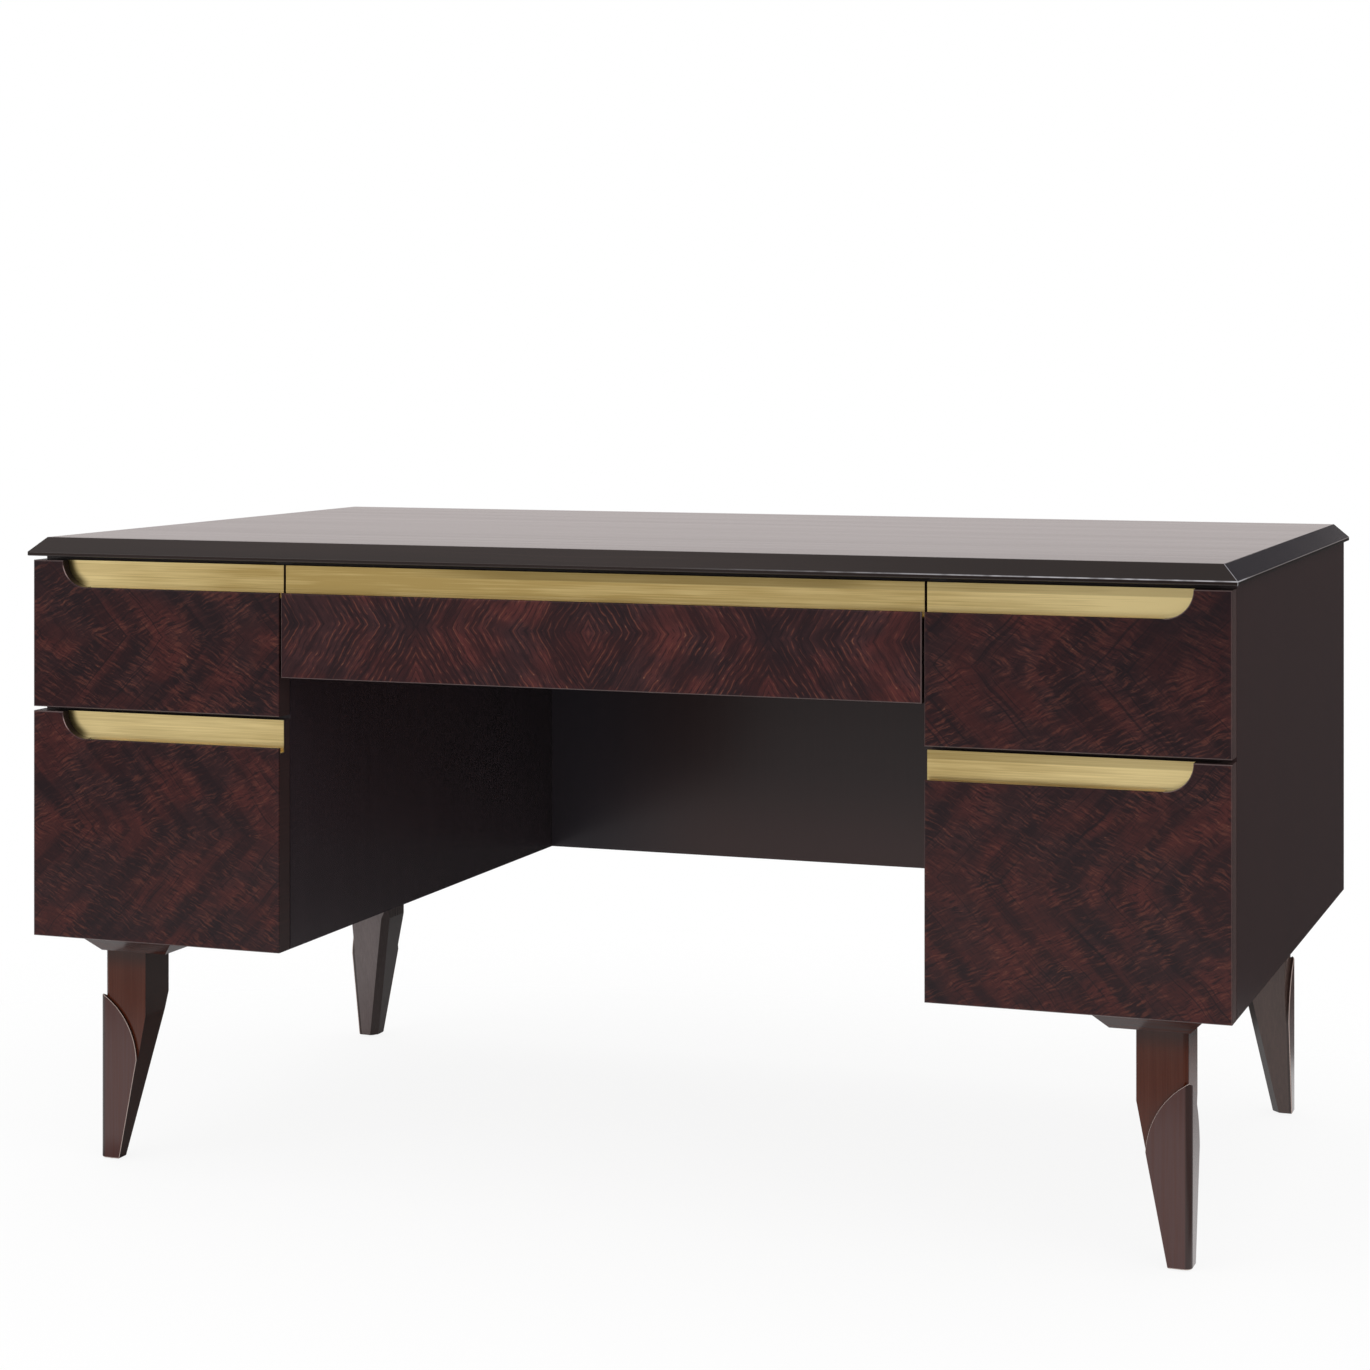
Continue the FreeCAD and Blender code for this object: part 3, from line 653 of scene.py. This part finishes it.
def screw_head(work, radius, height, seat, direction, segments):
    """Add a round screw head with a cross recess, seated on a point."""
    made = bmesh.ops.create_cone(work, cap_ends=True, segments=segments, radius1=radius,
                                 radius2=radius, depth=height)
    bmesh.ops.translate(work, verts=made["verts"], vec=Vector((0, 0, height / 2)))
    around = set(made["verts"])
    rim = list(highest_face(work, around).edges)
    bevelled = bmesh.ops.bevel(work, geom=rim, offset=0.45 * height, offset_type="OFFSET",
                               segments=3, profile=0.5, affect="EDGES", material=-1)
    around = {vert for vert in around | set(bevelled["verts"]) if vert.is_valid}
    poked = bmesh.ops.poke(work, faces=[highest_face(work, around)])
    centre = poked["verts"][0]
    arms = [face for face in centre.link_faces if face_is_arm(face)]
    recess = bmesh.ops.inset_region(work, faces=arms, thickness=0.12 * radius, use_even_offset=True)
    sunk = {vert for face in arms if face.is_valid for vert in face.verts}
    bmesh.ops.translate(work, verts=list(sunk), vec=Vector((0, 0, -0.45 * height)))
    around |= set(poked["verts"]) | sunk
    around |= {vert for face in recess["faces"] for vert in face.verts}
    placing = Matrix.Translation(seat) @ facing_turn(direction)
    bmesh.ops.transform(work, matrix=placing, verts=[vert for vert in around if vert.is_valid])


def highest_face(work, around):
    """The highest of the faces that have all their corners among some points."""
    return max((face for face in work.faces if set(face.verts) <= around),
               key=lambda face: face.calc_center_median().z)


def face_is_arm(face):
    """True for the wedges of a poked screw head that make the arms of its cross."""
    middle = face.calc_center_median()
    turn = math.degrees(math.atan2(middle.y, middle.x)) % 90.0
    return turn < 22.5


class DESK_OT_veneer(bpy.types.Operator):
    """Lay the matched veneer on the five drawer fronts"""

    bl_idname = "desk.veneer"
    bl_label = "Veneer the Drawer Fronts"

    def execute(self, context):
        veneer = context.scene.desk_veneer
        for place, drawer in enumerate(DRAWERS):
            low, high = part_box(drawer + "_front")
            seed = 5.3 + 9.7 * place
            patch = veneer.patch if drawer == "upper_right" else 0.0
            leaf = figured_veneer("veneer_" + drawer, low, high, seed, patch, veneer)
            dress(leaf, drawer + "_front")
        return {"FINISHED"}


class DESK_OT_case(bpy.types.Operator):
    """Lacquer the desk top, the panels, the rails and the floors"""

    bl_idname = "desk.case"
    bl_label = "Lacquer the Case"

    def execute(self, context):
        wood = context.scene.desk_lacquer
        top = plain_wood("lacquered_top", wood, wood.top, shaded(wood.top, 1.5), 0,
                         wood.top_roughness, self.lip_layer(wood), 2.0)
        dress(top, "desk_top")
        panels = {"case": ("left_outer_side", "right_outer_side"), "back": ("back_panel",),
                  "inner": ("left_inner_side", "right_inner_side")}
        for name, nodes in panels.items():
            layer = self.knee_reflection_layer(wood) if name == "back" else None
            panel = plain_wood("lacquered_" + name, wood, getattr(wood, name),
                               getattr(wood, name + "_streak"), 2, wood.case_roughness, layer,
                               specular_ior_level=0.40)
            dress(panel, *nodes)
        inside = plain_wood("stained_frame", wood, wood.frame, wood.case, 0, wood.frame_roughness)
        dress(inside, "top_rails", "divider_rails", "left_pedestal_floor", "right_pedestal_floor")
        return {"FINISHED"}

    def knee_reflection_layer(self, wood):
        """Painted light on the back panel's face inside the knee space: a lighter reflection low down,
        shade high up and a cooler reflection at the left.
        """
        low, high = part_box("back_panel")

        def layer(finish, spot, tone):
            painted_shading = finish.mixed(spot[2].fitted(0.42, 0.29), wood.knee_high_shade, wood.knee_low_reflection)
            painted_shading = finish.mixed(spot[0].fitted(-0.12, -0.36), painted_shading, wood.knee_left_reflection)
            return finish.mixed((spot[1] - low.y).fitted(0.004, 0.001) * 0.85, tone, painted_shading)

        return layer

    def lip_layer(self, wood):
        """Bevelled sides painted darker as shade, with painted highlights on the arrises near the right
        front corner.
        """
        low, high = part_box("desk_top")
        lip = low.z + wood.lip_height

        def layer(finish, spot, tone):
            x, y, z = spot
            back = y - low.y
            drop = high.z - z
            # Painted shade on the bevels, deeper to the right.
            painted_shading = drop.fitted(0.0003, 0.0008) * x.fitted(0.0, 0.55, 0.30, 0.95)
            tone = finish.mixed(painted_shading, tone, wood.bevel)
            # Painted highlights along the lip's arris and the mitre.
            line = abs(z - lip).fitted(0.0009, 0.0003)
            reach = x.fitted(0.05, 0.60) * back.fitted(0.12, 0.01)
            highlight_breaks = finish.noise(x / 0.020, y / 0.020, 0.0, 2.0).fitted(0.30, 0.60, 0.35, 0.95)
            tone = finish.mixed(line * reach * highlight_breaks, tone, wood.lip_highlight)
            mitre_highlight = abs(high.x - x - back).fitted(0.0011, 0.0004) * drop.fitted(0.0002, 0.0006)
            return finish.mixed(mitre_highlight * 0.6, tone, wood.lip_highlight)

        return layer


class DESK_OT_legs(bpy.types.Operator):
    """Lacquer the four legs and their blocks"""

    bl_idname = "desk.legs"
    bl_label = "Lacquer the Legs"

    def execute(self, context):
        wood = context.scene.desk_lacquer
        block = plain_wood("lacquered_block", wood, wood.block, wood.leg, 0, wood.leg_roughness,
                           specular_ior_level=0.45)
        for corner in CORNERS:
            ground = getattr(wood, corner + "_leg", wood.leg)
            streak = wood.leg_streak if corner.startswith("front") else shaded(ground, 1.3)
            leg = plain_wood("lacquered_leg_" + corner, wood, ground, streak, 2, wood.leg_roughness,
                             self.leaf_layer(corner, wood), specular_ior_level=0.45)
            dress(leg, corner + "_leg")
            dress(block, corner + "_leg_block")
        return {"FINISHED"}

    def leaf_layer(self, corner, wood):
        """Painted shade on the inner faces and under the block, and the raised leaf's tone with a
        painted highlight on its rim, a step painted dark as shadow and a painted dark reflection on its
        round corner.
        """
        low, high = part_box(corner + "_leg")
        front = corner.startswith("front")
        left = corner.endswith("left")
        bend = wood.leaf_corner
        proud = wood.leaf_proud

        def layer(finish, spot, tone):
            x, y, z = spot
            # Painted shade on the inner faces and just under the block.
            turned = finish.place("Normal")[0] * (1.0 if left else -1.0)
            inner_face_shade = turned.fitted(0.3, 0.8) * 0.75
            shade_under_block = (high.z - z).fitted(0.026, 0.002) * 0.55
            tone = finish.mixed(inner_face_shade.larger(shade_under_block), tone, wood.leg_inside)
            inward = (x - low.x) if left else (high.x - x)
            backward = (y - low.y) if front else (high.y - y)
            first = (bend - inward).larger(0.0)
            second = (bend - backward).larger(0.0)
            depth = bend - (first * first + second * second) ** 0.5
            leaf = depth.fitted(0.0020, 0.0012)
            streaks = finish.noise(x / 0.0030, y / 0.0030, z / 0.12, 3.0, 0.6)
            tone = finish.mixed(leaf * streaks.fitted(0.30, 0.65, 0.60, 0.95), tone, wood.leaf)
            # Painted shadow on the leaf's step wall.
            step = depth.fitted(0.0011, 0.0018) * depth.fitted(proud - 0.0002, proud - 0.0008)
            tone = finish.mixed(step * 0.7, tone, wood.frame)
            # Painted dark reflection on the leaf's round corner.
            corner_reflection = first.smaller(second).fitted(0.0002, 0.0022) * leaf
            tone = finish.mixed(corner_reflection * 0.65, tone, wood.leg_inside)
            # Painted highlight on the leaf's rim.
            rim = depth.fitted(0.0001, 0.0003) * depth.fitted(0.0013, 0.0009)
            return finish.mixed(rim * 0.9, tone, wood.leaf_rim_highlight)

        return layer


class DESK_OT_pulls(bpy.types.Operator):
    """Brush the five brass pulls"""

    bl_idname = "desk.pulls"
    bl_label = "Brush the Brass Pulls"

    def execute(self, context):
        metal = context.scene.desk_metal
        for drawer in DRAWERS:
            low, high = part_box(drawer + "_pull")
            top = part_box(drawer + "_front")[1].z
            brass = brushed_brass("brushed_brass_" + drawer, low, high, top, PULL_END_SHEEN[drawer], metal)
            dress(brass, drawer + "_pull")
        return {"FINISHED"}


class DESK_OT_drawer_boxes(bpy.types.Operator):
    """Finish the drawer boxes, with dovetails at the corners of their sides"""

    bl_idname = "desk.drawer_boxes"
    bl_label = "Finish the Drawer Boxes"

    def execute(self, context):
        box = context.scene.desk_box
        ends = box_wood("box_end_wood", 0, box)
        for kind, drawers in (("pedestal", PEDESTAL_DRAWERS), ("centre", ("centre",))):
            low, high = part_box(drawers[0] + "_box_sides")
            sides = box_wood("box_side_wood_" + kind, 1, box, (low.y, high.y))
            for drawer in drawers:
                dress(sides, drawer + "_box_sides")
                dress(ends, drawer + "_box_ends", drawer + "_box_bottom")
        return {"FINISHED"}


class DESK_OT_metalwork(bpy.types.Operator):
    """Finish the slides, studs, nuts, screws and glides"""

    bl_idname = "desk.metalwork"
    bl_label = "Finish the Steel Parts"

    def execute(self, context):
        metal = context.scene.desk_metal
        slide = steel_finish("slide_steel", metal.steel, 1)
        for drawer in DRAWERS:
            dress(slide, drawer + "_inner_slides", drawer + "_middle_slides")
        dress(slide, "left_outer_slides", "centre_outer_slides", "right_outer_slides")
        fixing = steel_finish("fixing_steel", metal.steel, 0)
        dress(fixing, "leg_studs", "leg_nuts", "foot_glides", "top_screws")
        return {"FINISHED"}


class DESK_OT_slide_screws(bpy.types.Operator):
    """Screw the inner slides to the sides of the drawer boxes"""

    bl_idname = "desk.slide_screws"
    bl_label = "Add the Slide Screws"

    def execute(self, context):
        fixing = context.scene.desk_fixings
        steel = bpy.data.materials["fixing_steel"]
        for drawer in DRAWERS:
            low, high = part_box(drawer + "_box_sides")
            slide_low, slide_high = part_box(drawer + "_inner_slides")
            level = (slide_low.z + slide_high.z) / 2
            start = slide_low.y + fixing.slide_end_margin
            reach = slide_high.y - slide_low.y - 2 * fixing.slide_end_margin
            heads = bmesh.new()
            for side, wall in ((-1, low.x), (1, high.x)):
                for index in range(fixing.slide_screws):
                    y = start + reach * index / (fixing.slide_screws - 1)
                    seat = Vector((wall + side * fixing.slide_wall, y, level))
                    screw_head(heads, fixing.slide_head_radius, fixing.slide_head_height, seat,
                               Vector((side, 0, 0)), fixing.segments)
            new_piece(drawer + "_slide_screws", heads, drawer + "_drawer", steel)
        return {"FINISHED"}


class DESK_OT_front_screws(bpy.types.Operator):
    """Screw each drawer front on from inside its box"""

    bl_idname = "desk.front_screws"
    bl_label = "Add the Front Screws"

    def execute(self, context):
        fixing = context.scene.desk_fixings
        steel = bpy.data.materials["fixing_steel"]
        for drawer in DRAWERS:
            low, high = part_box(drawer + "_box_bottom")
            side_low, side_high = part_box(drawer + "_box_sides")
            heads = bmesh.new()
            for x in (low.x + fixing.front_screw_inset, high.x - fixing.front_screw_inset):
                for z in (high.z + fixing.front_screw_drop, side_high.z - fixing.front_screw_drop):
                    screw_head(heads, fixing.front_head_radius, fixing.front_head_height,
                               Vector((x, low.y, z)), Vector((0, 1, 0)), fixing.segments)
            new_piece(drawer + "_front_screws", heads, drawer + "_drawer", steel)
        return {"FINISHED"}


class DESK_OT_stop_pads(bpy.types.Operator):
    """Stick soft pads to the case where the drawer fronts close against it"""

    bl_idname = "desk.stop_pads"
    bl_label = "Add the Stop Pads"

    def execute(self, context):
        fixing = context.scene.desk_fixings
        finish = Finish("soft_pad")
        x, y, z = finish.place()
        mottle = finish.noise(x / 0.0012, y / 0.0012, z / 0.0012, 2.0)
        tone = finish.mixed(mottle, (0.60, 0.58, 0.54), (0.72, 0.70, 0.66))
        pad_stuff = finish.surface(base_color=tone, roughness=0.45 + 0.1 * (mottle - 0.5))
        pads = bmesh.new()
        for seat in self.seats(fixing):
            self.add_pad(pads, seat, fixing)
        new_piece("stop_pads", pads, "carcass", pad_stuff)
        return {"FINISHED"}

    def seats(self, fixing):
        """The middle of each pad on the front edges of the case."""
        seats = []
        for drawer in DRAWERS:
            low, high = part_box(drawer + "_front")
            if drawer == "centre":
                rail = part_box("top_rails")[0]
                level = (rail.z + high.z) / 2
                reach = high.x - fixing.pad_margin
                seats += [Vector((side * reach, rail.y, level)) for side in (-1, 1)]
                continue
            word = drawer.split("_")[1]
            for panel in (word + "_outer_side", word + "_inner_side"):
                board_low, board_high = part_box(panel)
                x = (board_low.x + board_high.x) / 2
                seats += [Vector((x, board_low.y, z)) for z in
                          (low.z + fixing.pad_margin, high.z - fixing.pad_margin)]
        return seats

    def add_pad(self, pads, seat, fixing):
        """One round pad with a softened face."""
        made = bmesh.ops.create_cone(pads, cap_ends=True, segments=fixing.segments,
                                     radius1=fixing.pad_radius, radius2=0.82 * fixing.pad_radius,
                                     depth=fixing.pad_height)
        bmesh.ops.translate(pads, verts=made["verts"], vec=Vector((0, 0, fixing.pad_height / 2)))
        bmesh.ops.transform(pads, matrix=Matrix.Translation(seat) @ facing_turn(Vector((0, -1, 0))),
                            verts=made["verts"])


class DESK_OT_studio(bpy.types.Operator):
    """Set up the camera, the soft lamps, the pale floor and the backdrop"""

    bl_idname = "desk.studio"
    bl_label = "Set Up the Studio"

    def execute(self, context):
        studio = context.scene.desk_studio
        context.scene.view_settings.view_transform = "Standard"
        context.scene.camera = self.add_camera(studio)
        self.add_floor(studio)
        context.scene.world = self.add_backdrop()
        for softbox in SOFTBOXES:
            self.add_lamp(*softbox)
        return {"FINISHED"}

    def add_camera(self, studio):
        """A level camera that looks at the desk from its right front."""
        camera = bpy.data.cameras.new("picture_camera")
        camera.sensor_width = SENSOR_WIDTH
        camera.lens = studio.focal_pixels / PICTURE_WIDTH * SENSOR_WIDTH
        camera.shift_y = (studio.horizon_row - PICTURE_WIDTH / 2) / PICTURE_WIDTH
        camera.clip_start = 0.05
        holder = in_scene("picture_camera", camera)
        holder.location = (studio.camera_x, studio.camera_y, studio.camera_z)
        holder.rotation_euler = (math.pi / 2, 0.0, studio.camera_turn)
        return holder

    def add_lamp(self, name, place, width, height, power):
        """A soft area lamp that faces the desk."""
        lamp = bpy.data.lights.new(name, "AREA")
        lamp.shape = "RECTANGLE"
        lamp.size = width
        lamp.size_y = height
        lamp.energy = power
        holder = in_scene(name, lamp)
        holder.location = place
        holder.rotation_euler = (SOFTBOX_TARGET - Vector(place)).to_track_quat("-Z", "Y").to_euler()
        holder.visible_camera = False

    def add_floor(self, studio):
        """A round pale floor that keeps the desk's shadow and fades out at its rim."""
        work = bmesh.new()
        made = bmesh.ops.create_circle(work, cap_ends=True, segments=96, radius=studio.floor_radius)
        bmesh.ops.translate(work, verts=made["verts"], vec=Vector((0, studio.floor_forward, 0)))
        mesh = bpy.data.meshes.new("studio_floor")
        work.to_mesh(mesh)
        work.free()
        finish = Finish("studio_floor")
        x, y, z = finish.place()
        away = (x * x + (y - studio.floor_forward) ** 2) ** 0.5
        cover = away.fitted(studio.floor_solid, 0.95 * studio.floor_radius, 1.0, 0.0)
        mirrored = finish.ray("Glossy").larger(finish.ray("Transmission"))
        paper, dim, shade = [finish.add("ShaderNodeBsdfDiffuse", {"Color": (*[grey] * 3, 1.0)})
                             for grey in (PAPER_GREY, DIM_GREY, SHADE_GREY)]
        unlit = finish.add("ShaderNodeMixShader", {0: mirrored, 1: paper, 2: dim})
        glow = finish.add("ShaderNodeEmission", {"Color": (*WHITE, 1.0), "Strength": FLOOR_GLOW})
        bright = finish.add("ShaderNodeAddShader", {0: shade, 1: glow})
        shown = finish.ray("Camera") + mirrored * self.bright_sheets(x, y)
        ground = finish.add("ShaderNodeMixShader", {0: shown, 1: unlit, 2: bright})
        clear = finish.add("ShaderNodeBsdfTransparent")
        whole = finish.add("ShaderNodeMixShader", {0: cover, 1: clear, 2: ground})
        finish.add("ShaderNodeOutputMaterial", {"Surface": whole})
        mesh.materials.append(finish.owner)
        floor = in_scene("studio_floor", mesh)

    def bright_sheets(self, x, y):
        """Where the gloss sees bright paper: before the desk, but for a gap, and beside it."""
        before = y.fitted(-0.41, -0.47)
        on_right = x.fitted(0.38, 0.46) * x.fitted(0.90, 0.68) * y.fitted(0.75, 0.55)
        on_left = x.fitted(-0.66, -0.74) * y.fitted(0.45, 0.30)
        near_or_far = y.fitted(-1.10, -1.00) + y.fitted(-1.35, -1.50)
        return before.larger(on_right).larger(on_left) * x.fitted(0.95, 0.70) * near_or_far

    def add_backdrop(self):
        """White behind the desk, and a softly graded room in its gloss."""
        finish = Finish("studio_room", bpy.data.worlds)
        x, y, z = finish.place("Generated")
        level = (z + 1) * 0.5
        behind, front = [finish.add("ShaderNodeValToRGB", {0: level}, heights=heights)
                         for heights in (ROOM_BEHIND, ROOM_IN_FRONT)]
        front = finish.mixed(x.fitted(-0.35, -0.05) * ROOM_FALL, front, BLACK)
        room = finish.mixed(y.fitted(0.25, -0.25), behind, front)
        mirrored = finish.ray("Glossy").larger(finish.ray("Transmission"))
        soft = finish.mixed(mirrored, ROOM_SOFT, room)
        seen = finish.mixed(finish.ray("Camera"), soft, WHITE)
        sky = finish.add("ShaderNodeBackground", {"Color": seen})
        finish.add("ShaderNodeOutputWorld", {"Surface": sky})
        return finish.owner


class DESK_PT_sidebar(bpy.types.Panel):
    """Every step of the desk's finish, and its settings"""

    bl_idname = "DESK_PT_sidebar"
    bl_label = "Writing Desk"
    bl_space_type = "VIEW_3D"
    bl_region_type = "UI"
    bl_category = "Desk"

    def draw(self, context):
        for step in STEPS:
            self.layout.operator(step.bl_idname)
        for name, group in SETTINGS.items():
            box = self.layout.box()
            settings = getattr(context.scene, name)
            for key in group.__annotations__:
                box.prop(settings, key)


SETTINGS = {
    "desk_veneer": VeneerSettings,
    "desk_lacquer": LacquerSettings,
    "desk_metal": MetalSettings,
    "desk_box": BoxSettings,
    "desk_fixings": FixingSettings,
    "desk_studio": StudioSettings,
}
STEPS = (DESK_OT_studio, DESK_OT_veneer, DESK_OT_case, DESK_OT_legs, DESK_OT_pulls,
         DESK_OT_drawer_boxes, DESK_OT_metalwork, DESK_OT_slide_screws, DESK_OT_front_screws,
         DESK_OT_stop_pads)


def register():
    """Add the settings, the steps and the panel to Blender."""
    for name, group in SETTINGS.items():
        bpy.utils.register_class(group)
        setattr(bpy.types.Scene, name, PointerProperty(type=group))
    for step in STEPS:
        bpy.utils.register_class(step)
    bpy.utils.register_class(DESK_PT_sidebar)


def unregister():
    """Take them out again."""
    bpy.utils.unregister_class(DESK_PT_sidebar)
    for step in reversed(STEPS):
        bpy.utils.unregister_class(step)
    for name, group in SETTINGS.items():
        delattr(bpy.types.Scene, name)
        bpy.utils.unregister_class(group)


def main():
    """Dress the desk, step by step."""
    register()
    for step in STEPS:
        family, name = step.bl_idname.split(".")
        getattr(getattr(bpy.ops, family), name)()


if __name__ == "__main__":
    main()
